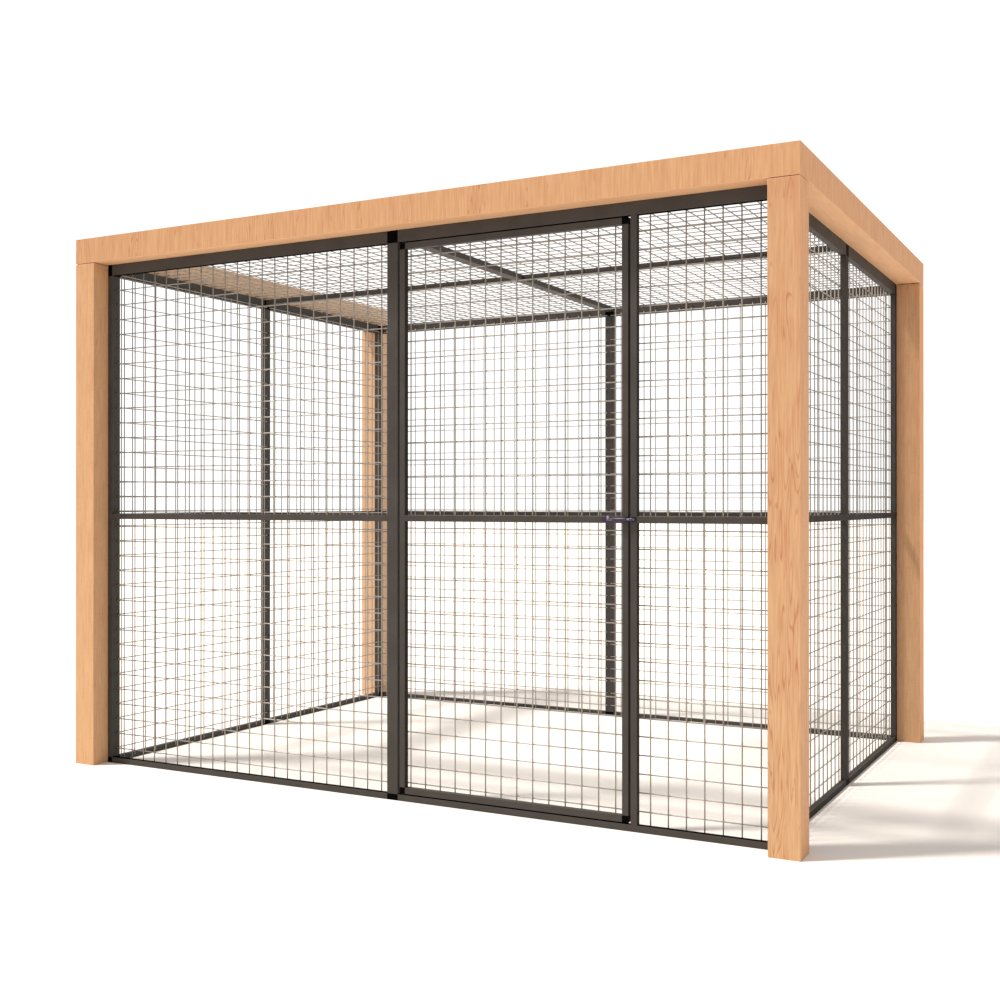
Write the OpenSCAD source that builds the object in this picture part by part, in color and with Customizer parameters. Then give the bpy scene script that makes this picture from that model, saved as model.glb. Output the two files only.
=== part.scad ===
// Walk-in cat enclosure: four timber posts with beams along the front and the two
// sides hold a black steel frame of square tube, welded wire mesh and a bolted door.
// Millimetres, Z up. The origin is on the ground at the middle of the enclosure;
// X runs along the front and Y to the back. The modules measure Y from the front
// face of the timber, and centred() moves each piece to the origin.

/* [Overall size] */
// Length along the front over the posts
run_l = 2670; // [2200:10:3200]
// Depth from the front to the back over the posts
run_d = 1938; // [1500:10:2600]
// Height to the top of the beams
run_h = 1920; // [1800:10:2300]

/* [Timber] */
// Side of the square posts and beams
timber = 90; // [75:1:120]
// Width of the broken edge along each timber
timber_edge = 2; // [1:0.5:6]

/* [Steel tube] */
// Side of the square tube and depth of every tube in a wall
tube = 20; // [16:1:30]
// Wide side of the flat tube of the top rails and middle posts
tube_wide = 40; // [30:1:60]
// Thickness of the tube wall
tube_wall = 1.5; // [1:0.1:2.5]
// Width of the broken edge along each tube
tube_edge = 1; // [0.5:0.1:2]
// Height of the underside of the middle rails
mid_rail_z = 895; // [600:5:1200]

/* [Connectors] */
// Length of a connector's plug inside a tube
plug_l = 30; // [24:1:50]
// Clearance round a plug inside a tube
plug_fit = 0.2; // [0.1:0.05:0.5]

/* [Wire mesh] */
// Diameter of the level mesh wires and of the roof's
wire_d = 3; // [2:0.1:4]
// Diameter of the upright mesh wires
wire_up_d = 3.4; // [2:0.1:4]
// Distance from one mesh wire to the next
pitch = 54.5; // [40:0.5:80]
// Hairline between the upright and the level wires where they are welded
weld_gap = 0.02; // [0.01:0.01:0.1]
// Lap of a mesh sheet over the tubes that it is welded to
mesh_lap = 12; // [8:1:16]
// Distance from the front middle post's centre to the first upright wire on the right
mesh_right_x = 57.2; // [50:0.1:70]
// Distance from the front middle post's centre to the first upright wire on the left
mesh_left_x = 55.1; // [50:0.1:70]
// Height of the lowest level wire of the door and the bay beside it
mesh_right_z = 55.7; // [30:0.1:75]
// Height of the lowest level wire of the left front bay
mesh_left_z = 49.7; // [30:0.1:75]
// Height of the lowest level wire of the side walls
mesh_side_z = 52.5; // [30:0.1:75]
// Height of the lowest level wire of the back wall
mesh_back_z = 49.3; // [30:0.1:75]
// Distance from the back wall's middle to its first upright wire on the right
mesh_back_right_x = 57.5; // [15:0.5:70]
// Distance from the back wall's middle to its first upright wire on the left
mesh_back_left_x = 40; // [15:0.5:70]
// Distance from the left wall's middle to its first upright wire towards the back
mesh_left_back_y = 41; // [15:0.5:70]
// Distance from the left wall's middle to its first upright wire towards the front
mesh_left_front_y = 21.5; // [15:0.5:70]
// Distance from the right wall's middle to its first upright wire towards the back
mesh_right_back_y = 24; // [15:0.5:70]
// Distance from the right wall's middle to its first upright wire towards the front
mesh_right_front_y = 36.5; // [15:0.5:70]
// Distance from the roof's middle to the first long wire on the right
mesh_roof_right_x = 54.5; // [15:0.5:70]
// Distance from the roof's middle to the first long wire on the left
mesh_roof_left_x = 46.5; // [15:0.5:70]
// Distance from the roof's middle back to the nearest cross wire
mesh_roof_y = 38.5; // [0:0.5:54]

/* [Door] */
// Clear width between the front middle post and the lock post
door_way = 801; // [600:1:1000]
// Gap at the hinge side of the door
gap_hinge = 7.5; // [6:0.5:12]
// Gap at the lock side of the door
gap_lock = 7; // [4:0.5:12]
// Gap under the door
gap_foot = 4.5; // [4:0.5:12]
// Gap over the door
gap_head = 4; // [3:0.5:12]

/* [Door pivots] */
// Diameter of the pivot pins
pin_d = 8; // [6:0.5:10]
// Depth that a pivot pin reaches into the door
pin_reach = 12; // [8:1:16]
// Diameter of the collar that the door turns against
collar_d = 14; // [12:0.5:18]
// Running clearance of the pivots and of the bolt
run_fit = 0.3; // [0.2:0.05:0.6]

/* [Bolt] */
// Length of the barrel that guides the rod
barrel_l = 44; // [30:1:44]
// Height of the back plates of the bolt and the keeper
bolt_plate_h = 18; // [16:1:24]
// Thickness of the back plates
bolt_plate_t = 1.5; // [1:0.1:3]
// Diameter of the bolt rod
bolt_d = 8; // [6:0.5:10]
// Wall of the barrel and of the keeper's loop
loop_t = 2; // [1.5:0.1:3]
// Width of the keeper's loop along the rod
loop_w = 9; // [6:0.5:10]
// Travel of the rod when the bolt is drawn back
bolt_travel = 26; // [22:1:30]
// Length of the keeper's back plate
keeper_l = 17; // [15:0.5:19]
// Diameter of the ball of the bolt handle
knob_d = 9; // [6:0.5:12]
// Diameter of the stem of the bolt handle
stem_d = 4; // [3:0.1:5]
// Length of the stem from the rod to the middle of the ball
knob_stem = 8; // [6:0.5:14]
// Diameter of the heads of the bolt's screws
screw_head_d = 4.4; // [3:0.1:5]

/* [Hidden] */
frame_h = run_h - timber;
clear_l = run_l - 2 * timber;
clear_x = clear_l / 2;
set_back = timber - tube;
side_l = run_d - 2 * timber;
mid = tube_wide / 2;
rail_z = frame_h - tube_wide;
roof_z = frame_h - tube;

door_l = mid + gap_hinge;
lock_x = mid + door_way;
door_r = lock_x - gap_lock;
door_z0 = tube + gap_foot;
door_z1 = rail_z - gap_head;
pivot_x = door_l + tube / 2;
pivot_y = set_back + tube / 2;

rod_z = mid_rail_z + tube / 2;
rod_y = set_back - bolt_plate_t - bolt_d / 2 - loop_t - run_fit;
bolt_x1 = door_r - 1;
barrel_x1 = bolt_x1 - 1;
barrel_x0 = barrel_x1 - barrel_l;
keeper_x0 = lock_x + (tube - keeper_l) / 2;
knob_x = barrel_x0 - knob_d / 2 - 6;
bolt_x0 = knob_x - bolt_travel - 0.5;
knob_turn = 50;
rod_x0 = knob_x - stem_d - 3;
rod_x1 = keeper_x0 + keeper_l - 2;
stem_seat = bolt_d / 4;
mesh_deep = wire_up_d + wire_d + weld_gap;
mesh_side_x = mesh_deep + 2;

// Places a wall, drawn along X with its outer face at Y 0 and Y pointing inwards
module on_front() {
    translate([-clear_x, set_back, 0]) children();
}

module on_back() {
    translate([clear_x, run_d - set_back, 0]) rotate([0, 0, 180]) children();
}

module on_left() {
    translate([-clear_x, run_d - timber, 0]) rotate([0, 0, -90]) children();
}

module on_right() {
    translate([clear_x, timber, 0]) rotate([0, 0, 90]) children();
}

// Section of a timber or tube, centred, with its four edges broken
module section(a, b, edge) {
    difference() {
        square([a, b], center = true);
        for (sx = [-1, 1], sy = [-1, 1]) {
            translate([sx * a / 2, sy * b / 2]) rotate(45) square(edge * sqrt(2), center = true);
        }
    }
}

// Hollow tube standing on the centre of its section
module tube_bar(a, b, length) {
    linear_extrude(height = length) difference() {
        section(a, b, tube_edge);
        square([a - 2 * tube_wall, b - 2 * tube_wall], center = true);
    }
}

module upright(x, y, z0, z1, a, b) {
    translate([x, y, z0]) tube_bar(a, b, z1 - z0);
}

module tube_along_x(x0, x1, y, z, depth, height) {
    translate([x0, y, z]) rotate([90, 0, 90]) tube_bar(depth, height, x1 - x0);
}

module tube_along_y(x, y0, y1, z, width, height) {
    translate([x, y0, z]) rotate([-90, 0, 0]) tube_bar(width, height, y1 - y0);
}

// Connector: a block with broken edges from its low corner p, and plugs that fit inside the tubes
module block(p, size) {
    edge = tube_edge / 2;
    translate(p + size / 2) intersection() {
        translate([0, 0, -size[2] / 2]) linear_extrude(height = size[2]) section(size[0], size[1], edge);
        translate([-size[0] / 2, 0, 0]) rotate([90, 0, 90]) {
            linear_extrude(height = size[0]) section(size[1], size[2], edge);
        }
        translate([0, size[1] / 2, 0]) rotate([90, 0, 0]) {
            linear_extrude(height = size[1]) section(size[0], size[2], edge);
        }
    }
}

function inside(outer) = outer - 2 * tube_wall - 2 * plug_fit;

// Each plug starts at a face of its block, with a root of root_l inside the block
root_l = 2;

module plug_x(x, y, z, depth, height, way) {
    translate([x + way * (plug_l - root_l) / 2, y, z]) {
        cube([plug_l + root_l, inside(depth), inside(height)], center = true);
    }
}

module plug_y(x, y, z, width, height) {
    translate([x, y + (plug_l - root_l) / 2, z]) {
        cube([inside(width), plug_l + root_l, inside(height)], center = true);
    }
}

module plug_z(x, y, z, width, depth, way) {
    translate([x, y, z + way * (plug_l - root_l) / 2]) {
        cube([inside(width), inside(depth), plug_l + root_l], center = true);
    }
}

// Mesh wire of eight flats, standing on its centre
module wire(length, thick = wire_d) {
    rotate(22.5) cylinder(h = length, d = thick / cos(22.5), $fn = 8);
}

module wire_up(x, y, z0, z1) {
    translate([x, y, z0]) wire(z1 - z0, wire_up_d);
}

module wire_along_x(x0, x1, y, z) {
    translate([x0, y, z]) rotate([0, 90, 0]) wire(x1 - x0);
}

module wire_along_y(x, y0, y1, z) {
    translate([x, y0, z]) rotate([-90, 0, 0]) wire(y1 - y0);
}

// Places from low to high, one pitch apart, on the lattice that passes through first
function lattice(low, high, first) = [
    for (i = [ceil((low - first) / pitch) : floor((high - first) / pitch)]) first + i * pitch
];

// Mesh sheet on the inner face of a wall: upright wires on the tubes, level wires across them
module sheet_up(x0, x1, z0, z1, first_x, first_z, y = tube) {
    for (x = lattice(x0 + wire_up_d, x1 - wire_up_d, first_x)) wire_up(x, y + wire_up_d / 2, z0, z1);
    for (z = lattice(z0 + wire_d, z1 - wire_d, first_z)) wire_along_x(x0, x1, y + mesh_deep - wire_d / 2, z);
}

// The pieces of one wall of a given length, with a middle post at its centre
module wall_stiles(length) {
    for (x = [tube / 2, length - tube / 2]) upright(x, tube / 2, tube, rail_z, tube, tube);
}

module wall_middle_post(length) {
    upright(length / 2, tube / 2, tube, rail_z, tube_wide, tube);
}

module wall_rails(length, z0, z1) {
    for (x = [tube, length / 2 + mid]) {
        tube_along_x(x, x + length / 2 - mid - tube, tube / 2, (z0 + z1) / 2, tube, z1 - z0);
    }
}

module wall_connectors(length, roof_w) {
    for (end = [0, 1]) {
        x = end * (length - tube);
        way = 1 - 2 * end;
        block([x, 0, 0], [tube, tube, tube]);
        plug_z(x + tube / 2, tube / 2, tube, tube, tube, 1);
        plug_x(tube + end * (length - 2 * tube), tube / 2, tube / 2, tube, tube, way);
        block([x, 0, rail_z], [tube, tube, tube_wide]);
        plug_z(x + tube / 2, tube / 2, rail_z, tube, tube, -1);
        plug_x(tube + end * (length - 2 * tube), tube / 2, rail_z + mid, tube, tube_wide, way);
    }
    block([length / 2 - mid, 0, 0], [tube_wide, tube, tube]);
    plug_z(length / 2, tube / 2, tube, tube_wide, tube, 1);
    block([length / 2 - mid, 0, rail_z], [tube_wide, tube, tube_wide]);
    plug_z(length / 2, tube / 2, rail_z, tube_wide, tube, -1);
    for (way = [-1, 1]) {
        plug_x(length / 2 + way * mid, tube / 2, tube / 2, tube, tube, way);
        plug_x(length / 2 + way * mid, tube / 2, rail_z + mid, tube, tube_wide, way);
    }
    plug_y(length / 2, tube, roof_z + tube / 2, roof_w, tube);
}

// Two mesh sheets, one each side of the middle post; before and after are the distances
// from the wall's middle to the nearest upright wire of each
module wall_mesh(length, end_x, before, after, first_z) {
    z0 = tube - mesh_lap;
    z1 = rail_z + mesh_lap;
    sheet_up(end_x, length / 2 - mid + mesh_lap, z0, z1, length / 2 - before, first_z);
    sheet_up(length / 2 + mid - mesh_lap, length - end_x, z0, z1, length / 2 + after, first_z);
}

// Moves a piece from the front face to the middle of the enclosure
module centred() {
    translate([0, -run_d / 2, 0]) children();
}

// Timber post at a corner, and a beam on two posts, mitred at the ends named in cuts
module post(x, y) {
    color("burlywood") translate([x, y, 0]) linear_extrude(height = frame_h) section(timber, timber, timber_edge);
}

module beam(length, cuts = [-1, 1]) {
    color("burlywood") difference() {
        translate([-length / 2, timber / 2, timber / 2]) {
            rotate([90, 0, 90]) linear_extrude(height = length) section(timber, timber, timber_edge);
        }
        for (side = cuts) {
            translate([side * length / 2, 0, -1]) rotate([0, 0, side * 45]) {
                translate([side > 0 ? 0 : -2 * timber, -timber, 0]) cube([2 * timber, 4 * timber, timber + 2]);
            }
        }
    }
}

module post_front_left() { post(-run_l / 2 + timber / 2, timber / 2); }
module post_front_right() { post(run_l / 2 - timber / 2, timber / 2); }
module post_back_left() { post(-run_l / 2 + timber / 2, run_d - timber / 2); }
module post_back_right() { post(run_l / 2 - timber / 2, run_d - timber / 2); }

module beam_front() {
    translate([0, 0, frame_h]) beam(run_l);
}

module beam_left() {
    translate([-run_l / 2, run_d / 2, frame_h]) rotate([0, 0, -90]) beam(run_d, [1]);
}

module beam_right() {
    translate([run_l / 2, run_d / 2, frame_h]) rotate([0, 0, 90]) beam(run_d, [-1]);
}

// Front wall: a left bay, the doorway and a narrow right bay
module front_stiles() {
    color("dimgray") on_front() wall_stiles(clear_l);
}

module front_middle_post() {
    color("dimgray") on_front() wall_middle_post(clear_l);
}

module lock_post() {
    color("dimgray") upright(lock_x + tube / 2, pivot_y, tube, rail_z, tube, tube);
}

module pivot_hole() {
    translate([pivot_x, pivot_y, -1]) cylinder(h = frame_h + 2, d = pin_d + plug_fit, $fn = 48);
}

module front_top_rails() {
    color("dimgray") difference() {
        on_front() wall_rails(clear_l, rail_z, frame_h);
        pivot_hole();
    }
}

module front_bottom_rails() {
    color("dimgray") difference() {
        on_front() wall_rails(clear_l, 0, tube);
        pivot_hole();
    }
}

module front_mid_rails() {
    z = mid_rail_z + tube / 2;
    color("dimgray") tube_along_x(-clear_x + tube, -mid, pivot_y, z, tube, tube);
    color("dimgray") tube_along_x(lock_x + tube, clear_x - tube, pivot_y, z, tube, tube);
}

module front_connectors() {
    color("black") difference() {
        on_front() wall_connectors(clear_l, tube_wide);
        pivot_hole();
    }
}

// Back wall
module back_stiles() {
    color("dimgray") on_back() wall_stiles(clear_l);
}

module back_middle_post() {
    color("dimgray") on_back() wall_middle_post(clear_l);
}

module back_top_rails() {
    color("dimgray") on_back() wall_rails(clear_l, rail_z, frame_h);
}

module back_bottom_rails() {
    color("dimgray") on_back() wall_rails(clear_l, 0, tube);
}

module back_mid_rails() {
    color("dimgray") on_back() wall_rails(clear_l, mid_rail_z, mid_rail_z + tube);
}

module back_connectors() {
    color("black") on_back() wall_connectors(clear_l, tube_wide);
}

// Left wall
module left_stiles() {
    color("dimgray") on_left() wall_stiles(side_l);
}

module left_middle_post() {
    color("dimgray") on_left() wall_middle_post(side_l);
}

module left_top_rails() {
    color("dimgray") on_left() wall_rails(side_l, rail_z, frame_h);
}

module left_bottom_rails() {
    color("dimgray") on_left() wall_rails(side_l, 0, tube);
}

module left_mid_rails() {
    color("dimgray") on_left() wall_rails(side_l, mid_rail_z, mid_rail_z + tube);
}

module left_connectors() {
    color("black") on_left() wall_connectors(side_l, tube);
}

// Right wall
module right_stiles() {
    color("dimgray") on_right() wall_stiles(side_l);
}

module right_middle_post() {
    color("dimgray") on_right() wall_middle_post(side_l);
}

module right_top_rails() {
    color("dimgray") on_right() wall_rails(side_l, rail_z, frame_h);
}

module right_bottom_rails() {
    color("dimgray") on_right() wall_rails(side_l, 0, tube);
}

module right_mid_rails() {
    color("dimgray") on_right() wall_rails(side_l, mid_rail_z, mid_rail_z + tube);
}

module right_connectors() {
    color("black") on_right() wall_connectors(side_l, tube);
}

// Roof: a wide tube from front to back, and a cross tube welded to each side of it
module roof_long_tube() {
    color("dimgray") tube_along_y(0, timber, run_d - timber, roof_z + tube / 2, tube_wide, tube);
}

module roof_cross_tubes() {
    for (x = [mid, -clear_x + tube]) {
        color("dimgray") tube_along_x(x, x + clear_x - tube - mid, run_d / 2, roof_z + tube / 2, tube, tube);
    }
}

// Mesh sheets
module mesh_front_left() {
    color("silver") translate([0, set_back, 0]) {
        sheet_up(-clear_x + tube, -mid + mesh_lap, tube - mesh_lap, rail_z + mesh_lap, -mesh_left_x, mesh_left_z);
    }
}

module mesh_front_right() {
    color("silver") translate([0, set_back, 0]) {
        sheet_up(lock_x + tube - mesh_lap, clear_x - tube, tube - mesh_lap, rail_z + mesh_lap,
            mesh_right_x, mesh_right_z);
    }
}

module mesh_back() {
    color("silver") on_back() wall_mesh(clear_l, tube, mesh_back_right_x, mesh_back_left_x, mesh_back_z);
}

module mesh_left() {
    color("silver") on_left() wall_mesh(side_l, mesh_side_x, mesh_left_back_y, mesh_left_front_y, mesh_side_z);
}

module mesh_right() {
    color("silver") on_right() wall_mesh(side_l, mesh_side_x, mesh_right_front_y, mesh_right_back_y, mesh_side_z);
}

// Two roof sheets meet over the long tube; their wires that run to the back lie on the tubes
module mesh_roof() {
    x0 = mid - mesh_lap;
    x1 = clear_x - tube + mesh_lap;
    y0 = timber;
    y1 = run_d - timber + mesh_lap;
    z = frame_h + wire_d / 2;
    color("silver") {
        for (x = lattice(x0 + wire_d, x1 - wire_d, mesh_roof_right_x)) wire_along_y(x, y0, y1, z);
        for (x = lattice(x0 + wire_d, x1 - wire_d, mesh_roof_left_x)) wire_along_y(-x, y0, y1, z);
        for (y = lattice(y0 + wire_d, y1 - wire_d, run_d / 2 + mesh_roof_y), x = [x0, -x1]) {
            wire_along_x(x, x + x1 - x0, y, z + wire_d + weld_gap);
        }
    }
}

// Door: a tube frame with connector corners; the two on the left turn on the pins
module door_stiles() {
    for (x = [door_l + tube / 2, door_r - tube / 2]) {
        color("dimgray") upright(x, pivot_y, door_z0 + tube, door_z1 - tube, tube, tube);
    }
}

module door_rails() {
    for (z = [door_z0 + tube / 2, door_z1 - tube / 2]) {
        color("dimgray") tube_along_x(door_l + tube, door_r - tube, pivot_y, z, tube, tube);
    }
}

module door_mid_rail() {
    color("dimgray") tube_along_x(door_l + tube, door_r - tube, pivot_y, mid_rail_z + tube / 2, tube, tube);
}

module door_corners() {
    color("black") difference() {
        for (end = [0, 1], top = [0, 1]) {
            x = end * (door_r - door_l - tube) + door_l;
            z = top * (door_z1 - door_z0 - tube) + door_z0;
            block([x, set_back, z], [tube, tube, tube]);
            plug_z(x + tube / 2, pivot_y, z + (1 - top) * tube, tube, tube, 1 - 2 * top);
            plug_x(x + (1 - end) * tube, pivot_y, z + tube / 2, tube, tube, 1 - 2 * end);
        }
        for (z = [door_z0 - 1, door_z1 - pin_reach - 2]) {
            translate([pivot_x, pivot_y, z]) cylinder(h = pin_reach + 3, d = pin_d + 2 * run_fit, $fn = 48);
        }
    }
}

module door_mesh() {
    color("silver") translate([0, set_back, 0]) {
        sheet_up(door_l + tube - mesh_lap, door_r - tube + mesh_lap, door_z0 + tube - mesh_lap,
            door_z1 - tube + mesh_lap, mesh_right_x, mesh_right_z);
    }
}

// Pivot pins: each passes through the rail and its plug and has a collar in the gap
module pivot_pins() {
    color("silver") translate([pivot_x, pivot_y, 1]) {
        cylinder(h = door_z0 + pin_reach - 1, d = pin_d, $fn = 48);
        translate([0, 0, tube - 1]) cylinder(h = gap_foot - run_fit, d = collar_d, $fn = 48);
    }
    color("silver") translate([pivot_x, pivot_y, door_z1 - pin_reach]) {
        cylinder(h = frame_h - door_z1 + pin_reach - 1, d = pin_d, $fn = 48);
        translate([0, 0, pin_reach + run_fit]) cylinder(h = gap_head - run_fit, d = collar_d, $fn = 48);
    }
}

// Sleeve round the bolt rod, with a foot that is joined to the back plate
module rod_loop(x, width) {
    r = bolt_d / 2 + run_fit + loop_t;
    seat = set_back - bolt_plate_t / 2 - rod_y;
    translate([x, rod_y, rod_z]) rotate([90, 0, 90]) linear_extrude(height = width) difference() {
        union() {
            circle(r = r, $fn = 64);
            translate([0, -r]) square([seat, 2 * r]);
        }
        circle(r = bolt_d / 2 + run_fit, $fn = 64);
    }
}

// Back plate with rounded corners, upright on the front face of a tube
module back_plate(x, length) {
    round_r = 3;
    translate([x, set_back, rod_z - bolt_plate_h / 2]) rotate([90, 0, 0]) linear_extrude(height = bolt_plate_t) {
        translate([round_r, 0]) square([length - 2 * round_r, bolt_plate_h]);
        translate([0, round_r]) square([length, bolt_plate_h - 2 * round_r]);
        for (cx = [round_r, length - round_r], cz = [round_r, bolt_plate_h - round_r]) {
            translate([cx, cz]) circle(r = round_r, $fn = 48);
        }
    }
}

// Domed screw head on a plate that is thickness off the tube face
module screw(x, z) {
    translate([x, set_back - bolt_plate_t, z]) rotate([90, 0, 0]) {
        cylinder(h = 0.6, d = screw_head_d, $fn = 32);
        cylinder(h = 1, d = screw_head_d - 1.4, $fn = 32);
    }
}

module bolt_plate() {
    color("slategray") {
        back_plate(bolt_x0, bolt_x1 - bolt_x0);
        rod_loop(barrel_x0, barrel_l);
    }
}

module bolt_screws() {
    for (x = [bolt_x0 + 4, barrel_x0 - 6]) color("silver") screw(x, rod_z);
}

module keeper() {
    color("slategray") {
        back_plate(keeper_x0, keeper_l);
        rod_loop(keeper_x0, loop_w);
    }
}

module keeper_screws() {
    for (side = [-1, 1]) {
        color("silver") screw(keeper_x0 + keeper_l - 3, rod_z + side * (bolt_plate_h / 2 - 3));
    }
}

// Bolt rod with a rounded front end, and the ball handle that stands up from it
module bolt_rod() {
    straight = rod_x1 - rod_x0 - bolt_d / 2;
    color("silver") difference() {
        translate([rod_x0, rod_y, rod_z]) rotate([0, 90, 0]) {
            cylinder(h = straight, d = bolt_d, $fn = 48);
            translate([0, 0, straight]) sphere(d = bolt_d, $fn = 48);
        }
        translate([knob_x, rod_y, rod_z]) rotate([knob_turn, 0, 0]) {
            translate([0, 0, stem_seat]) cylinder(h = bolt_d, d = stem_d + plug_fit / 2, $fn = 48);
        }
    }
}

module bolt_knob() {
    color("silver") translate([knob_x, rod_y, rod_z]) rotate([knob_turn, 0, 0]) {
        translate([0, 0, stem_seat]) cylinder(h = bolt_d / 2 - stem_seat + knob_stem, d = stem_d, $fn = 48);
        translate([0, 0, bolt_d / 2 + knob_stem]) sphere(d = knob_d, $fn = 48);
    }
}

centred() post_front_left();
centred() post_front_right();
centred() post_back_left();
centred() post_back_right();
centred() beam_front();
centred() beam_left();
centred() beam_right();
centred() front_stiles();
centred() front_middle_post();
centred() lock_post();
centred() front_top_rails();
centred() front_bottom_rails();
centred() front_mid_rails();
centred() front_connectors();
centred() back_stiles();
centred() back_middle_post();
centred() back_top_rails();
centred() back_bottom_rails();
centred() back_mid_rails();
centred() back_connectors();
centred() left_stiles();
centred() left_middle_post();
centred() left_top_rails();
centred() left_bottom_rails();
centred() left_mid_rails();
centred() left_connectors();
centred() right_stiles();
centred() right_middle_post();
centred() right_top_rails();
centred() right_bottom_rails();
centred() right_mid_rails();
centred() right_connectors();
centred() roof_long_tube();
centred() roof_cross_tubes();
centred() mesh_front_left();
centred() mesh_front_right();
centred() mesh_back();
centred() mesh_left();
centred() mesh_right();
centred() mesh_roof();
centred() door_stiles();
centred() door_rails();
centred() door_mid_rail();
centred() door_corners();
centred() door_mesh();
centred() pivot_pins();
centred() bolt_plate();
centred() bolt_screws();
centred() keeper();
centred() keeper_screws();
centred() bolt_rod();
centred() bolt_knob();
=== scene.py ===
from math import pi, radians, tan

import bmesh
import bpy
from mathutils import Matrix, Vector


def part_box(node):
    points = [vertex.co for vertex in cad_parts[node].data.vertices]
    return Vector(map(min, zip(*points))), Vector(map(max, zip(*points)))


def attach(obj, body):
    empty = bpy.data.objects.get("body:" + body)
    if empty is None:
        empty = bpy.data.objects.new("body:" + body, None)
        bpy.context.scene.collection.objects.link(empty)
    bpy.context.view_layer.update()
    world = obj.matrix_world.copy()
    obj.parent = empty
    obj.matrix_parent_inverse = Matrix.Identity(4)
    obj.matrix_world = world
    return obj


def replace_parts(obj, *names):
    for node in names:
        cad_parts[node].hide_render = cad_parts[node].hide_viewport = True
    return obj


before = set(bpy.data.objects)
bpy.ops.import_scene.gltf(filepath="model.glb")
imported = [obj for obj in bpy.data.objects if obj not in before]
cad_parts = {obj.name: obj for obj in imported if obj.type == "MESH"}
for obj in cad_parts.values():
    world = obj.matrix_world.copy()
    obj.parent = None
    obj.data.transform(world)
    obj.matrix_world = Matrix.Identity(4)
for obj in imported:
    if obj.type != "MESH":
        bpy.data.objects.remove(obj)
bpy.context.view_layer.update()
scene = bpy.context.scene


# Where the photograph was taken from
# The camera stands at waist height off the enclosure's front right corner and
# looks level, with the front wall and a little of the right wall in view.
camera_lens = bpy.data.cameras.new("camera")
camera_lens.lens = 44.69
camera_lens.sensor_width = 36
camera_lens.clip_end = 200
camera = bpy.data.objects.new("camera", camera_lens)
camera.location = (2.1810, -4.2578, 0.95368)
camera.rotation_euler = (radians(90.14), 0, radians(28.041))
scene.collection.objects.link(camera)
scene.camera = camera
scene.view_settings.view_transform = "Standard"


# Studio: a white room and one soft lamp
# Off-white walls light the enclosure from all sides, and the backdrop is bright
# enough to thin the far wires out. A broad lamp, high up at the front left,
# throws soft shadows to the right and to the back.
def feed(tree, node, inputs):
    """Set a node's inputs, by name or number, to values or to the sockets that feed them."""
    for name, value in inputs.items():
        if isinstance(value, bpy.types.NodeSocket):
            tree.links.new(value, node.inputs[name])
        else:
            node.inputs[name].default_value = value


def add(tree, kind, inputs=None, **settings):
    """A new shader node of this kind, with its settings and its inputs."""
    node = tree.nodes.new("ShaderNode" + kind)
    for name, value in settings.items():
        setattr(node, name, value)
    feed(tree, node, inputs or {})
    return node


room = bpy.data.worlds.new("white_room")
scene.world = room
room.use_nodes = True
tree = room.node_tree
tree.nodes.clear()
walls = add(tree, "Background", {"Color": (1.0, 0.957, 0.912, 1), "Strength": 0.79})
backdrop = add(tree, "Background", {"Color": (1, 1, 1, 1), "Strength": 1.18})
seen = add(tree, "LightPath")
choose = add(tree, "MixShader", {
    "Fac": seen.outputs["Is Camera Ray"],
    1: walls.outputs["Background"],
    2: backdrop.outputs["Background"],
})
add(tree, "OutputWorld", {"Surface": choose.outputs["Shader"]})

lamp_light = bpy.data.lights.new("front_left_lamp", "SUN")
lamp_light.energy = 4.3
lamp_light.angle = radians(6.5)
lamp_light.color = (1.0, 0.925, 0.85)
lamp = bpy.data.objects.new("front_left_lamp", lamp_light)
lamp_aim = Vector((0.448, 0.307, -1))
lamp.rotation_euler = lamp_aim.to_track_quat("-Z", "Y").to_euler()
scene.collection.objects.link(lamp)


# Floor
# A pale matte studio floor, wide enough to run out to the horizon all round. It
# is painted just short of white, so that the enclosure's soft shadows show on it.
def finish_named(name):
    """A new material with its shader and Object coordinates, as (material, tree, shader, place)."""
    material = bpy.data.materials.new(name)
    material.use_nodes = True
    tree = material.node_tree
    place = add(tree, "TexCoord").outputs["Object"]
    return material, tree, tree.nodes["Principled BSDF"], place


def noise(tree, place, scale, detail):
    """Cloudy noise, 0 to 1, at a place."""
    return add(tree, "TexNoise", {"Vector": place, "Scale": scale, "Detail": detail}).outputs["Fac"]


def mixed(tree, share, a, b):
    """Colour a changing to colour b as share goes from 0 to 1."""
    return add(tree, "Mix", {"Factor": share, "A": a, "B": b}, data_type="RGBA").outputs["Result"]


floor_paint, tree, shader, place = finish_named("floor_paint")
clouds = noise(tree, place, 1.3, 4)
feed(tree, shader, {
    "Base Color": mixed(tree, clouds, (0.774, 0.750, 0.729, 1), (0.785, 0.762, 0.740, 1)),
    "Roughness": 0.9,
    "Specular IOR Level": 0.0,
})
floor_reach = 60

bm = bmesh.new()
bmesh.ops.create_grid(bm, x_segments=4, y_segments=4, size=floor_reach)
floor_mesh = bpy.data.meshes.new("floor")
bm.to_mesh(floor_mesh)
bm.free()
floor_mesh.materials.append(floor_paint)
floor = bpy.data.objects.new("floor", floor_mesh)
scene.collection.objects.link(floor)


# Timber posts
# Four square posts of planed softwood, one at each corner, with their edges eased and a hairline joint
# under the beams. Their tones differ from post to post, and part of that is painted light and painted
# shade.
def group_with(name, takes, gives):
    """A node group with named inputs and outputs, as (group, its input node, its output node)."""
    group = bpy.data.node_groups.new(name, "ShaderNodeTree")
    for sockets, side in ((takes, "INPUT"), (gives, "OUTPUT")):
        for socket, kind in sockets.items():
            group.interface.new_socket(socket, in_out=side, socket_type="NodeSocket" + kind)
    return group, group.nodes.new("NodeGroupInput"), group.nodes.new("NodeGroupOutput")


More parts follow.
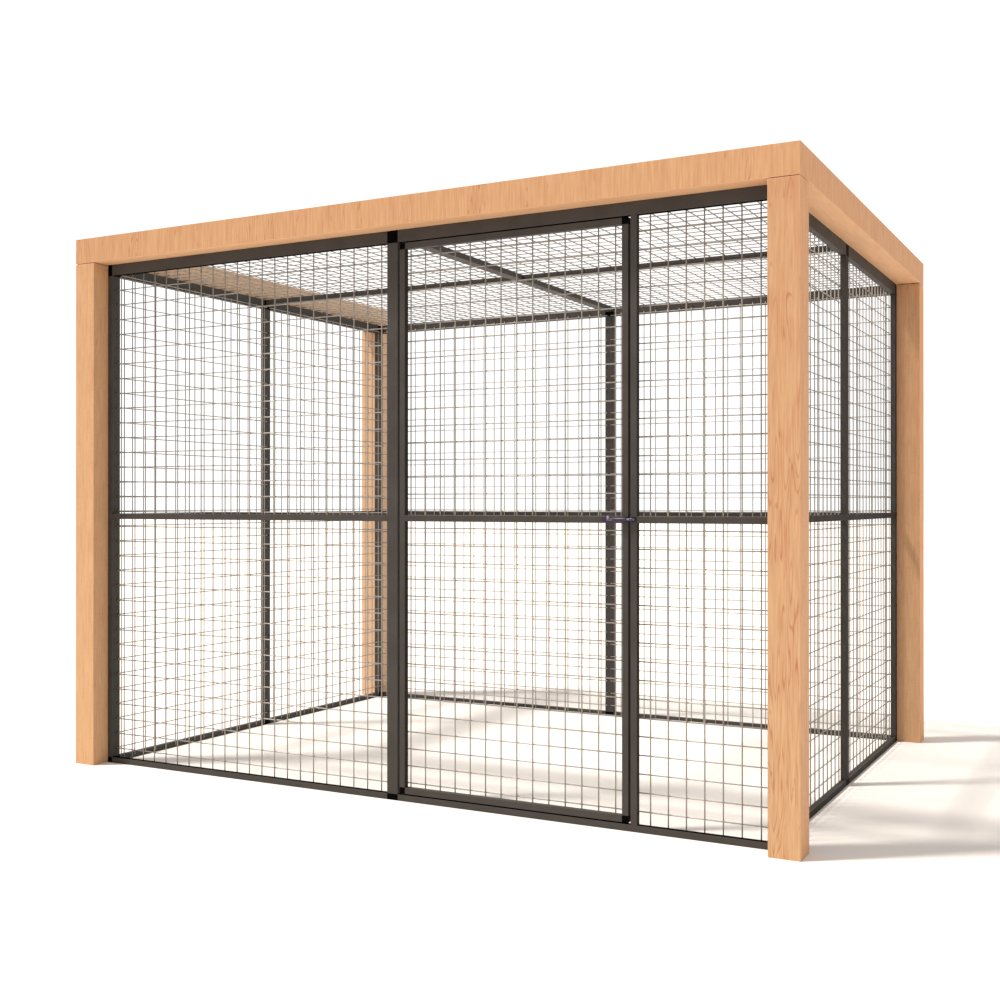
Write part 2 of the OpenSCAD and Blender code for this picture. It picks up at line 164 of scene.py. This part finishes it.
def ranged(tree, value, low, high, to_low=0.0, to_high=1.0):
    """A value between low and high brought to a new range, and held inside it."""
    return add(tree, "MapRange", {
        "Value": value, "From Min": low, "From Max": high, "To Min": to_low, "To Max": to_high,
    }).outputs["Result"]


def calc(tree, operation, a, b, c=0.0):
    """One sum on up to three values or sockets."""
    return add(tree, "Math", {0: a, 1: b, 2: c}, operation=operation).outputs["Value"]


def stretched(tree, place, scale):
    """A place with each of its axes scaled."""
    return add(tree, "Mapping", {"Vector": place, "Scale": scale}).outputs["Vector"]


wood_grain, start, end = group_with(
    "wood_grain",
    {
        "Vector": "Vector", "Pale": "Color", "Dark": "Color",
        "Figure": "Float", "Sparse": "Float", "Marks": "Float",
        "Above Floor": "Float", "Arris": "Float",
    },
    {"Color": "Color", "Height": "Float", "Roughness": "Float"},
)
place = start.outputs["Vector"]
fibre = noise(wood_grain, stretched(wood_grain, place, (1, 1, 0.06)), 180, 3)
clouds = noise(wood_grain, stretched(wood_grain, place, (1, 1, 0.3)), 45, 4)
blotch = ranged(wood_grain, clouds, 0.34, 0.68)
# Growth lines are the contours of a drawn-out noise, and show in some places only.
contour = noise(wood_grain, stretched(wood_grain, place, (1, 1, 0.07)), 20, 2)
step = calc(wood_grain, "PINGPONG", calc(wood_grain, "MULTIPLY", contour, 20.0), 0.5)
spread = noise(wood_grain, stretched(wood_grain, place, (1, 1, 0.3)), 16, 2)
shows = ranged(wood_grain, calc(wood_grain, "SUBTRACT", spread, start.outputs["Sparse"]), 0.0, 0.10)
lines = calc(wood_grain, "MULTIPLY", ranged(wood_grain, step, 0.16, 0.02), shows)
# Pin knots, a few millimetres across.
knots = add(wood_grain, "TexVoronoi", {
    "Vector": stretched(wood_grain, place, (1, 1, 0.4)), "Scale": 24.0,
}).outputs["Distance"]
knot = ranged(wood_grain, knots, 0.10, 0.04)
# Marks that run across the grain, as a saw leaves.
cross = noise(wood_grain, stretched(wood_grain, place, (0.25, 0.25, 1)), 190, 3)
mark = calc(wood_grain, "MULTIPLY", ranged(wood_grain, cross, 0.52, 0.74), start.outputs["Marks"])
# The wood is painted a little paler towards the floor, as painted light from below, and its eased edges
# are worn pale.
tone = ranged(wood_grain, start.outputs["Above Floor"], 0.0, 1.9, 0.0, 0.28)
worn = calc(wood_grain, "MULTIPLY", start.outputs["Arris"], 0.4)
figure = calc(wood_grain, "MULTIPLY_ADD", lines, 0.80, calc(wood_grain, "MULTIPLY", blotch, 0.14))
figure = calc(wood_grain, "MULTIPLY_ADD", knot, 0.60, figure)
dark = calc(wood_grain, "MULTIPLY_ADD", figure, start.outputs["Figure"], tone)
dark = calc(wood_grain, "MULTIPLY_ADD", ranged(wood_grain, fibre, 0.3, 0.7), 0.50, dark)
dark = calc(wood_grain, "MULTIPLY_ADD", mark, 0.45, dark)
dark = ranged(wood_grain, dark, 0.0, 1.2)
colour = mixed(wood_grain, dark, start.outputs["Pale"], start.outputs["Dark"])
feed(wood_grain, end, {
    "Color": mixed(wood_grain, worn, colour, (0.68, 0.39, 0.21, 1)),
    "Height": calc(wood_grain, "MULTIPLY_ADD", lines, -0.5, fibre),
    "Roughness": ranged(wood_grain, fibre, 0.3, 0.7, 0.52, 0.70),
})


def timber_finish(name, turn, figure, sparse, marks, pale, dark):
    """Planed softwood between two colours; turn lays its grain, which runs along Z, another way."""
    material, tree, shader, place = finish_named(name)
    laid = add(tree, "Mapping", {"Vector": place, "Rotation": turn})
    grain = add(tree, "Group", node_tree=wood_grain)
    feed(tree, grain, {
        "Vector": laid.outputs["Vector"], "Pale": (*pale, 1), "Dark": (*dark, 1),
        "Figure": figure, "Sparse": sparse, "Marks": marks,
        "Above Floor": add(tree, "SeparateXYZ", {"Vector": place}).outputs["Z"],
        "Arris": add(tree, "Attribute", attribute_name="arris").outputs["Fac"],
    })
    relief = add(tree, "Bump", {
        "Height": grain.outputs["Height"], "Strength": 0.25, "Distance": 0.0006,
    })
    feed(tree, shader, {
        "Base Color": grain.outputs["Color"],
        "Roughness": grain.outputs["Roughness"],
        "Normal": relief.outputs["Normal"],
        "Specular IOR Level": 0.3,
    })
    return material


upright = (0, 0, 0)
planed_face = (upright, 0.8, 0.44, 0.0)
sawn_face = (upright, 0.4, 0.55, 0.45)
# Painted shade: the front right post's front face is painted darker than its sides.
timber_figured_painted_shade = timber_finish(
    "timber_figured_painted_shade", *planed_face, (0.566, 0.361, 0.190), (0.389, 0.160, 0.075)
)
timber_sawn = timber_finish("timber_sawn", *sawn_face, (0.656, 0.368, 0.189), (0.425, 0.201, 0.089))
timber_even = timber_finish("timber_even", *sawn_face, (0.619, 0.370, 0.196), (0.400, 0.202, 0.092))
timber_warm = timber_finish("timber_warm", *sawn_face, (0.716, 0.366, 0.158), (0.463, 0.200, 0.074))
# Painted shade: the back right post's front face is painted darker than its sides.
timber_painted_shade = timber_finish("timber_painted_shade", *sawn_face, (0.570, 0.336, 0.182), (0.370, 0.184, 0.086))
# Painted light: the back left post is painted paler than the other posts.
timber_pale = timber_finish("timber_pale", *sawn_face, (0.710, 0.465, 0.284), (0.510, 0.315, 0.179))


def bar(bm, low, high, easing, steps):
    """A straight bar between two corners, its edges rounded and the faces on them marked."""
    arris = bm.faces.layers.float.get("arris") or bm.faces.layers.float.new("arris")
    size = Vector(high) - Vector(low)
    made = bmesh.ops.create_cube(
        bm, size=1,
        matrix=Matrix.Translation((Vector(low) + Vector(high)) / 2) @ Matrix.Diagonal((*size, 1)),
    )
    edges = {e for v in made["verts"] for e in v.link_edges}
    eased = bmesh.ops.bevel(
        bm, geom=list(edges), offset=easing, offset_type="OFFSET", segments=steps,
        profile=0.5, affect="EDGES", material=-1, clamp_overlap=True,
    )
    for face in eased["faces"]:
        face[arris] = 1.0
        face.smooth = True


def piece_from(bm, name, body, slot, *materials):
    """A finished piece, in place in the frame, that rides on a CAD body."""
    mesh = bpy.data.meshes.new(name)
    bm.to_mesh(mesh)
    bm.free()
    for material in materials:
        mesh.materials.append(material)
    piece = bpy.data.objects.new(name, mesh)
    scene.collection.objects.link(piece)
    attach(piece, body)
    return piece


post_easing = 0.0014
beam_joint = 0.0024
# A face looks along an axis when its normal has at least this share of it.
facing = 0.7
# The wood of each post's sides, and of the face that looks to the front. On the front right post that
# face shows growth lines and pin knots, the rest saw marks. The front right and back right posts' front
# faces are painted darker than their sides, as painted shade, and the back left post is painted paler,
# as painted light.
post_woods = {
    "front_left": (timber_even, timber_even),
    "front_right": (timber_sawn, timber_figured_painted_shade),
    "back_left": (timber_pale, timber_pale),
    "back_right": (timber_warm, timber_painted_shade),
}
for corner, woods in post_woods.items():
    low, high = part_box("post_" + corner)
    bm = bmesh.new()
    bar(bm, low, high - Vector((0, 0, beam_joint)), post_easing, 3)
    for face in bm.faces:
        face.material_index = 1 if face.normal.y < -facing else 0
    post = piece_from(bm, "timber_post_" + corner, "frame", "timber", *woods)
    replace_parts(post, "post_" + corner)


# Timber beams
# Three beams of the same wood lie on the posts along the front and the two sides, mitred where they
# meet at the front. Their sides show short upright figure, and on top and on the underside the grain
# runs along them. The underside is painted paler, as painted light from the floor.
timber_striped = timber_finish(
    "timber_striped", upright, 0.9, 0.53, 0.0, (0.602, 0.359, 0.189), (0.388, 0.185, 0.084)
)
lay_along = ((0, radians(90), 0), (radians(90), 0, 0))
timber_top = [
    timber_finish(
        "timber_top_" + name, lay, 0.6, 0.50, 0.3, (0.632, 0.355, 0.182), (0.450, 0.210, 0.093)
    )
    for name, lay in zip("xy", lay_along)
]
# Painted light: the undersides are painted paler, as the light that the floor throws up.
underside_painted_light = [
    timber_finish(
        "underside_painted_light_" + name, lay, 0.4, 0.55, 0.2, (0.800, 0.475, 0.265), (0.620, 0.352, 0.187)
    )
    for name, lay in zip("xy", lay_along)
]
beam_easing = 0.0012
# How near a vertex is to a plane that it lies in.
touching = 0.001


def beam(name, along, inner, cut_ends, side_wood):
    """A beam along X (0) or Y (1), with the ends in cut_ends (-1 low, 1 high) mitred.

    inner is where its face towards the steel lies, which the mitres make shorter.
    """
    low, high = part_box(name)
    across = 1 - along
    bm = bmesh.new()
    arris = bm.faces.layers.float.new("arris")
    bmesh.ops.create_cube(
        bm, size=1,
        matrix=Matrix.Translation((low + high) / 2) @ Matrix.Diagonal((*(high - low), 1)),
    )
    for end in cut_ends:
        step = Vector((0, 0, 0))
        step[along] = -end * (high[across] - low[across])
        middle = (low[along] + high[along]) / 2
        moved = [
            v for v in bm.verts
            if abs(v.co[across] - inner) < touching and (v.co[along] - middle) * end > 0
        ]
        bmesh.ops.translate(bm, vec=step, verts=moved)
    # The edge that meets the steel's top rail is left sharp.
    rail_edge = {
        v for v in bm.verts
        if abs(v.co[across] - inner) < touching and v.co.z < low.z + touching
    }
    open_edges = [e for e in bm.edges if not rail_edge.issuperset(e.verts)]
    eased = bmesh.ops.bevel(
        bm, geom=open_edges, offset=beam_easing, offset_type="OFFSET", segments=3,
        profile=0.5, affect="EDGES", material=-1, clamp_overlap=True,
    )
    for face in eased["faces"]:
        face[arris] = 1.0
        face.smooth = True
    for face in bm.faces:
        if face.normal.z > facing:
            face.material_index = 1
        elif face.normal.z < -facing:
            face.material_index = 2
    woods = (side_wood, timber_top[along], underside_painted_light[along])
    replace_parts(piece_from(bm, "timber_" + name, "frame", "timber", *woods), name)


beam("beam_front", 0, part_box("beam_front")[1].y, (-1, 1), timber_striped)
beam("beam_left", 1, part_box("beam_left")[1].x, (-1,), timber_pale)
beam("beam_right", 1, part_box("beam_right")[0].x, (-1,), timber_sawn)


# Steel frame tubes
# Square and 20 x 40 mm steel tube, powder coated in a dark brown-black, stands
# as four walls and a roof inside the timber. Its corners are rolled to a small
# radius, but for the rails that fit against a beam.
tube_radius = 0.0007
sharp_radius = 0.00008
# Vertices nearer than this are one vertex.
same_point = 0.000001


def solids_of(node):
    """The box of each separate solid in a CAD node, as (low, high) corners."""
    bm = bmesh.new()
    bm.from_mesh(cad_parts[node].data)
    bmesh.ops.remove_doubles(bm, verts=bm.verts, dist=same_point)
    boxes, unvisited = [], set(bm.verts)
    while unvisited:
        group, waiting = [], [unvisited.pop()]
        while waiting:
            vert = waiting.pop()
            group.append(vert.co.copy())
            for edge in vert.link_edges:
                other = edge.other_vert(vert)
                if other in unvisited:
                    unvisited.remove(other)
                    waiting.append(other)
        boxes.append((
            Vector([min(p[i] for p in group) for i in range(3)]),
            Vector([max(p[i] for p in group) for i in range(3)]),
        ))
    bm.free()
    return sorted(boxes, key=lambda b: tuple(round(x, 5) for x in (*b[0], *b[1])))


coat_speckle, start, end = group_with(
    "coat_speckle",
    {"Vector": "Vector", "Clean": "Color", "Dusty": "Color", "Smooth": "Float", "Rough": "Float"},
    {"Color": "Color", "Height": "Float", "Roughness": "Float"},
)
place = start.outputs["Vector"]
dust = ranged(coat_speckle, noise(coat_speckle, place, 14, 6), 0.35, 0.75)
gloss = ranged(coat_speckle, dust, 0.0, 1.0, start.outputs["Smooth"], start.outputs["Rough"])
feed(coat_speckle, end, {
    "Color": mixed(coat_speckle, dust, start.outputs["Clean"], start.outputs["Dusty"]),
    "Height": noise(coat_speckle, place, 900, 2),
    "Roughness": gloss,
})


def coated(name, clean, dusty, smooth, rough, specular, peel):
    """A coated or moulded dark surface: fine orange peel, and a little dust in clouds."""
    material, tree, shader, place = finish_named(name)
    skin = add(tree, "Group", node_tree=coat_speckle)
    feed(tree, skin, {
        "Vector": place, "Clean": (*clean, 1), "Dusty": (*dusty, 1), "Smooth": smooth, "Rough": rough,
    })
    relief = add(tree, "Bump", {"Height": skin.outputs["Height"], "Strength": peel, "Distance": 0.0003})
    feed(tree, shader, {
        "Base Color": skin.outputs["Color"],
        "Roughness": skin.outputs["Roughness"],
        "Normal": relief.outputs["Normal"],
        "Specular IOR Level": specular,
    })
    return material


# The sides that look to the right get a darker, duller coat, as painted shade, and the faces that close
# on the door are painted black, as painted shade in the gaps.
tube_coat = coated(
    "tube_coat", (0.040, 0.034, 0.029), (0.052, 0.046, 0.041), 0.50, 0.66, 0.28, 0.15
)
coat_painted_shade = coated(
    "tube_coat_painted_shade", (0.030, 0.026, 0.023), (0.040, 0.036, 0.032), 0.55, 0.70, 0.20, 0.15
)
coat_painted_deep_shade = coated(
    "tube_coat_painted_deep_shade", (0.020, 0.016, 0.012), (0.026, 0.022, 0.018), 0.60, 0.76, 0.10, 0.15
)
black_painted_shade = coated(
    "black_painted_shade", (0.003, 0.003, 0.003), (0.006, 0.005, 0.005), 0.80, 0.95, 0.0, 0.40
)
# How near a face is to the node's outer face that it is part of.
flush = 0.0001


def tubes(node, body="frame", radius=tube_radius, **sides):
    """The tubes of one CAD node as one piece.

    sides names faces and the finish that they get: outer_down for those on the
    node's outside that look down, every_right for all that look to the right.
    """
    ways = {"left": (0, -1), "right": (0, 1), "down": (2, -1), "up": (2, 1)}
    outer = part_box(node)
    bm = bmesh.new()
    for low, high in solids_of(node):
        bar(bm, low, high, radius, 2)
    for number, side in enumerate(sides, 1):
        which, way = side.split("_")
        axis, sign = ways[way]
        limit = outer[1 if sign > 0 else 0][axis]
        for face in bm.faces:
            on_limit = abs(face.calc_center_median()[axis] - limit) < flush
            if face.normal[axis] * sign > facing and (which == "every" or on_limit):
                face.material_index = number
    finishes = (tube_coat, *sides.values())
    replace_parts(piece_from(bm, "tube_" + node, body, "frame_tube", *finishes), node)


for part in ("stiles", "middle_post", "bottom_rails", "mid_rails"):
    tubes("back_" + part)
    tubes("left_" + part)
    tubes("right_" + part, every_right=coat_painted_deep_shade)
tubes("front_stiles")
tubes("front_middle_post")
tubes("lock_post", every_right=coat_painted_deep_shade)
tubes("front_mid_rails")
# Painted shade: the faces at the door's foot and head gaps are painted black.
tubes("front_bottom_rails", outer_up=black_painted_shade)
tubes("front_top_rails", outer_down=black_painted_shade)
tubes("back_top_rails")
tubes("left_top_rails", radius=sharp_radius)
tubes("right_top_rails", radius=sharp_radius, every_right=coat_painted_shade)
tubes("roof_long_tube")
tubes("roof_cross_tubes")


# Tube connectors
# Black moulded nylon blocks close the tubes' ends: each plugs into the tubes
# that meet at a corner or a tee, and shows as a black square between them.
connector_black = coated(
    "connector_black", (0.0005, 0.0005, 0.0005), (0.0015, 0.0015, 0.0015), 0.60, 0.75, 0.03, 0.25
)
for wall in ("front", "back", "left", "right"):
    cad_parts[wall + "_connectors"].data.materials[0] = connector_black


# Welded wire mesh
# Steel wire, 3.4 mm upright and 3 mm across under a thick coat of zinc, welded
# where it crosses, cut to length and laid on the inner side of the tubes, which
# it laps a little.
zinc, tree, shader, place = finish_named("zinc")
spangle = add(tree, "TexVoronoi", {"Vector": place, "Scale": 160.0}).outputs["Distance"]
feed(tree, shader, {
    "Base Color": mixed(tree, spangle, (0.250, 0.233, 0.212, 1), (0.372, 0.348, 0.319, 1)),
    "Roughness": ranged(tree, noise(tree, place, 30, 4), 0.0, 1.0, 0.34, 0.56),
    "Metallic": 0.6,
})
wire_sides = 10
wire_chamfer = 0.0004
zinc_layer = 0.0003


def wire_sheet(node, body="frame"):
    """One piece for a sheet: each wire round, with its cut ends chamfered."""
    bm = bmesh.new()
    for low, high in solids_of(node):
        size = high - low
        along = max(range(3), key=lambda i: size[i])
        turn = (
            Matrix.Rotation(radians(90), 4, "Y"),
            Matrix.Rotation(radians(90), 4, "X"),
            Matrix.Identity(4),
        )[along]
        radius = min(size) / 2 + zinc_layer
        bmesh.ops.create_cone(
            bm, cap_ends=True, segments=wire_sides, radius1=radius, radius2=radius,
            depth=size[along], matrix=Matrix.Translation((low + high) / 2) @ turn,
        )
    for face in bm.faces:
        face.smooth = len(face.verts) == 4
    cut = [e for e in bm.edges if any(len(f.verts) > 4 for f in e.link_faces)]
    bmesh.ops.bevel(
        bm, geom=cut, offset=wire_chamfer, offset_type="OFFSET", segments=1,
        profile=0.5, affect="EDGES", material=-1, clamp_overlap=True,
    )
    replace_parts(piece_from(bm, "wire_" + node, body, "wire", zinc), node)


for side in ("front_left", "front_right", "back", "left", "right", "roof"):
    wire_sheet("mesh_" + side)


# Door
# A frame of the same square tube with black corner blocks and its own sheet of mesh. It turns on two
# steel pins in the left corners, and opens outwards. Its hinge side, foot and head are painted black,
# as painted shade, so those gaps look black.
tubes("door_stiles", "door", outer_left=black_painted_shade, every_right=coat_painted_deep_shade)
tubes("door_rails", "door", outer_down=black_painted_shade, outer_up=black_painted_shade)
tubes("door_mid_rail", "door")
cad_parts["door_corners"].data.materials[0] = connector_black
wire_sheet("door_mesh", "door")


# Pivot pins
# Turned, blackened steel pins with a collar run up and down through the rails
# into the door's corner blocks and carry it.
plating_haze, start, end = group_with(
    "plating_haze",
    {"Vector": "Vector", "Dull": "Color", "Bright": "Color", "Smooth": "Float", "Rough": "Float"},
    {"Color": "Color", "Roughness": "Float"},
)
haze = ranged(plating_haze, noise(plating_haze, start.outputs["Vector"], 220, 4), 0.3, 0.7)
gloss = ranged(plating_haze, haze, 0.0, 1.0, start.outputs["Smooth"], start.outputs["Rough"])
feed(plating_haze, end, {
    "Color": mixed(plating_haze, haze, start.outputs["Dull"], start.outputs["Bright"]),
    "Roughness": gloss,
})


def plated(name, dull, bright, smooth, rough, metallic, specular):
    """Plated steel with a fine haze that changes its tone and its gloss."""
    material, tree, shader, place = finish_named(name)
    skin = add(tree, "Group", node_tree=plating_haze)
    feed(tree, skin, {
        "Vector": place, "Dull": (*dull, 1), "Bright": (*bright, 1), "Smooth": smooth, "Rough": rough,
    })
    feed(tree, shader, {
        "Base Color": skin.outputs["Color"],
        "Roughness": skin.outputs["Roughness"],
        "Metallic": metallic,
        "Specular IOR Level": specular,
    })
    return material


# Faces that turn by less than this are one flat face, and an edge that turns by
# more than this is rounded.
flat_turn = radians(1)
sharp_turn = radians(40)
# Faces smaller than this, in square metres, belong to a curve.
curve_face = 0.00006


def softened(node, name, body, slot, material, radius):
    """A copy of a CAD node's mesh in one skin, its sharp edges rounded and its curves smooth."""
    bm = bmesh.new()
    bm.from_mesh(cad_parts[node].data)
    bmesh.ops.remove_doubles(bm, verts=bm.verts, dist=same_point)
    bmesh.ops.dissolve_limit(bm, angle_limit=flat_turn, verts=bm.verts, edges=bm.edges)
    sharp = [e for e in bm.edges if len(e.link_faces) == 2 and e.calc_face_angle() > sharp_turn]
    bmesh.ops.bevel(
        bm, geom=sharp, offset=radius, offset_type="OFFSET", segments=2,
        profile=0.5, affect="EDGES", material=-1, clamp_overlap=True,
    )
    for face in bm.faces:
        face.smooth = face.calc_area() < curve_face
    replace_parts(piece_from(bm, name, body, slot, material), node)


pin_black = plated(
    "pin_black_oxide", (0.012, 0.011, 0.010), (0.024, 0.022, 0.020), 0.38, 0.52, 0.4, 0.20
)
softened("pivot_pins", "pivot_pin_pair", "frame", "plated_steel", pin_black, 0.0004)


# Barrel bolt
# A small bolt closes the door: a pressed plate with a rolled barrel on the
# door's stile and a keeper on the lock post, both dark plated, and a round rod
# with a bright ball handle. Cross-head screws with domed heads hold the plates.
bolt_dark = plated(
    "bolt_dark", (0.012, 0.005, 0.024), (0.022, 0.012, 0.036), 0.34, 0.46, 0.0, 0.45
)
bolt_steel = plated(
    "bolt_steel", (0.045, 0.036, 0.062), (0.075, 0.062, 0.095), 0.34, 0.46, 0.0, 0.60
)
bolt_bright = plated(
    "bolt_bright", (0.26, 0.22, 0.31), (0.38, 0.34, 0.44), 0.22, 0.32, 0.7, 0.60
)
softened("bolt_plate", "bolt_plate_and_barrel", "door", "bolt_body", bolt_dark, 0.0004)
softened("keeper", "bolt_keeper", "frame", "bolt_body", bolt_dark, 0.0004)
softened("bolt_rod", "bolt_rod_bar", "bolt", "bolt_rod", bolt_steel, 0.0003)
softened("bolt_knob", "bolt_handle", "bolt", "bolt_rod", bolt_bright, 0.0002)

# From the head's top to its rim: the share of its radius and of its height.
screw_profile = ((0.0, 1.0), (0.3, 1.0), (0.62, 0.93), (0.86, 0.7), (1.0, 0.35), (1.0, 0.0))
screw_steps = 32
recess_deep = 0.0004
# The cross reaches out to this share of the head's radius.
recess_reach = 0.86
# Each of its arms is one step of the turn wide to either side of its axis.
arm_slope = tan(2 * pi / screw_steps)


def screws(node, body):
    """Domed heads that face the front, each with a cross recess pressed into it."""
    heads = solids_of(node)
    bm = bmesh.new()
    for low, high in heads:
        centre = (low + high) / 2
        radius, height = (high.x - low.x) / 2, high.y - low.y
        outline = [
            bm.verts.new((centre.x + share * radius, high.y - rise * height, centre.z))
            for share, rise in screw_profile
        ]
        edges = [bm.edges.new(pair) for pair in zip(outline, outline[1:])]
        bmesh.ops.spin(
            bm, geom=outline + edges, cent=centre, axis=(0, 1, 0), angle=2 * pi,
            steps=screw_steps, use_merge=True,
        )
    bmesh.ops.remove_doubles(bm, verts=bm.verts, dist=same_point)
    for face in bm.faces:
        face.smooth = len(face.verts) == 4
    arms = []
    for low, high in heads:
        centre = (low + high) / 2
        reach = recess_reach * (high.x - low.x) / 2
        for face in bm.faces:
            offset = face.calc_center_median() - centre
            across, along = sorted((abs(offset.x), abs(offset.z)))
            if along < reach and across < along * arm_slope:
                arms.append(face)
    pressed = bmesh.ops.extrude_face_region(bm, geom=arms)
    moved = [v for v in pressed["geom"] if isinstance(v, bmesh.types.BMVert)]
    bmesh.ops.translate(bm, vec=(0, recess_deep, 0), verts=moved)
    bmesh.ops.delete(bm, geom=arms, context="FACES")
    backs = bmesh.ops.holes_fill(bm, edges=[e for e in bm.edges if e.is_boundary])
    for face in backs["faces"]:
        face.smooth = False
    bmesh.ops.recalc_face_normals(bm, faces=bm.faces)
    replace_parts(piece_from(bm, node + "_heads", body, "plated_steel", bolt_dark), node)


screws("bolt_screws", "door")
screws("keeper_screws", "frame")
